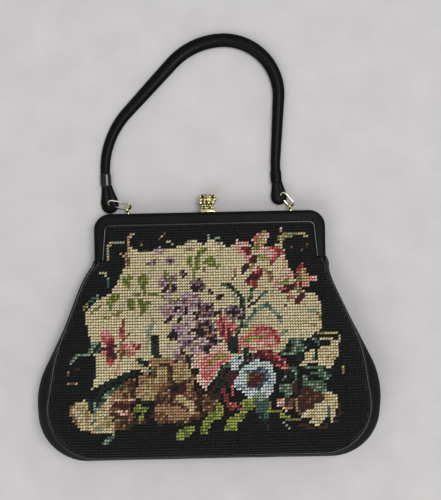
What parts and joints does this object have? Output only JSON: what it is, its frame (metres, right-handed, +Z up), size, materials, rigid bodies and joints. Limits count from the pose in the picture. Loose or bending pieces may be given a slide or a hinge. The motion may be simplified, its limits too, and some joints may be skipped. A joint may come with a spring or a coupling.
{
  "type": "needlepoint frame handbag",
  "caption": "Frame handbag lying on its back, with a flower needlepoint front, hinged leather-covered frame, kiss-lock clasp, ribbed gusset and rolled top handle.",
  "frame": {"origin": "middle of the flat back panel's outer face, on the surface that the bag lies on", "axes": "+X to the bag's right, +Y from the pouch towards the handle, +Z up out of the needlepoint face"},
  "size_m": [0.2651, 0.3299, 0.0428],
  "materials": {
    "frame_leather": "smooth black leather, soft gloss",
    "handle_leather": "rolled black leather, waxed gloss",
    "piping_leather": "glossy black leather cord",
    "frame_brass": "plain brass, slightly dulled",
    "clasp_gold": "pale gold plate, bright",
    "link_metal": "pale gold wire, bright",
    "needlepoint": "wool tent stitch on canvas, black ground with a flower bouquet",
    "faille": "black ribbed faille",
    "lining_satin": "black rayon satin"
  },
  "bodies": {
    "bag": {"rear_frame_cover": "frame_leather", "rear_frame_channel": "frame_brass", "rear_frame_bead": "piping_leather", "left_hinge_rivet": "frame_brass", "right_hinge_rivet": "frame_brass", "rear_clasp_bud": "clasp_gold", "left_handle_loop": "clasp_gold", "right_handle_loop": "clasp_gold", "back_panel": "faille", "gusset": "faille", "front_panel_lower": "needlepoint", "front_panel_fold": "needlepoint", "front_piping": "piping_leather", "back_piping": "piping_leather", "lining": "lining_satin", "back_lining": "lining_satin"},
    "front_frame": {"front_frame_cover": "frame_leather", "front_frame_channel": "frame_brass", "front_frame_bead": "piping_leather", "front_clasp_bud": "clasp_gold", "front_panel_upper": "needlepoint", "front_lining_upper": "lining_satin"},
    "handle": {"handle_strap": "handle_leather", "left_handle_tab": "handle_leather", "right_handle_tab": "handle_leather", "left_handle_keeper": "handle_leather", "right_handle_keeper": "handle_leather", "left_handle_link": "link_metal", "right_handle_link": "link_metal"}
  },
  "joints": [
    {"name": "frame_open", "type": "hinge", "parent": "bag", "child": "front_frame", "pos_m": [0, 0.07, 0.0092], "axis": [1, 0, 0], "range_deg": [0, 70], "deforming": ["front_panel_fold"]},
    {"name": "handle_swing", "type": "hinge", "parent": "bag", "child": "handle", "pos_m": [0, 0.11435, 0.0046], "axis": [1, 0, 0], "range_deg": [0, 90]}
  ]
}
